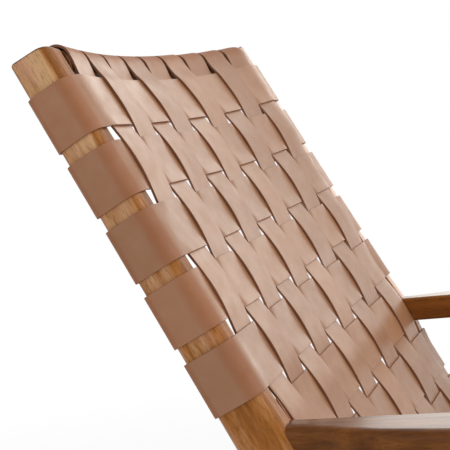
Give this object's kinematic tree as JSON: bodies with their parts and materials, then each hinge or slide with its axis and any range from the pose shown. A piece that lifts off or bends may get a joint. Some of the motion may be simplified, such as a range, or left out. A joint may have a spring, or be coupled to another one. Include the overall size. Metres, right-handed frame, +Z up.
{
  "type": "lounge chair",
  "caption": "Low lounge chair with a reclined wooden frame, flat flared arms, and a back and seat plain-woven from wide leather straps.",
  "frame": {"origin": "on the floor, below the middle of the chair's bounding box", "axes": "+Z up, the sitter faces -Y, +X to the sitter's left"},
  "size_m": [0.6224, 0.8894, 0.8245],
  "materials": {
    "leather_strap": "smooth matte saddle leather with dark cut edges",
    "wood_frame": "oiled satin wood with a straight grain",
    "glide": "dark moulded glide"
  },
  "bodies": {
    "root": {"back_post_left": "wood_frame", "back_post_right": "wood_frame", "top_rail": "wood_frame", "lower_back_rail": "wood_frame", "seat_side_rail_left": "wood_frame", "seat_side_rail_right": "wood_frame", "rear_seat_rail": "wood_frame", "front_seat_rail": "wood_frame", "arm_left": "wood_frame", "arm_right": "wood_frame", "front_leg_left": "wood_frame", "front_leg_right": "wood_frame", "rear_leg_left": "wood_frame", "rear_leg_right": "wood_frame", "glide_front_left": "glide", "glide_front_right": "glide", "glide_rear_left": "glide", "glide_rear_right": "glide", "back_column_strap_1": "leather_strap", "back_column_strap_2": "leather_strap", "back_column_strap_3": "leather_strap", "back_column_strap_4": "leather_strap", "back_column_strap_5": "leather_strap", "back_column_strap_6": "leather_strap", "back_column_strap_7": "leather_strap", "back_column_strap_8": "leather_strap", "back_column_strap_9": "leather_strap", "seat_column_strap_1": "leather_strap", "seat_column_strap_2": "leather_strap", "seat_column_strap_3": "leather_strap", "seat_column_strap_4": "leather_strap", "seat_column_strap_5": "leather_strap", "seat_column_strap_6": "leather_strap", "seat_column_strap_7": "leather_strap", "seat_column_strap_8": "leather_strap", "seat_column_strap_9": "leather_strap", "back_row_strap_1": "leather_strap", "back_row_strap_2": "leather_strap", "back_row_strap_3": "leather_strap", "back_row_strap_4": "leather_strap", "back_row_strap_5": "leather_strap", "back_row_strap_6": "leather_strap", "back_row_strap_7": "leather_strap", "back_row_strap_8": "leather_strap", "back_row_strap_9": "leather_strap", "seat_row_strap_1": "leather_strap", "seat_row_strap_2": "leather_strap", "seat_row_strap_3": "leather_strap", "seat_row_strap_4": "leather_strap", "seat_row_strap_5": "leather_strap", "seat_row_strap_6": "leather_strap", "seat_row_strap_7": "leather_strap"}
  },
  "joints": []
}
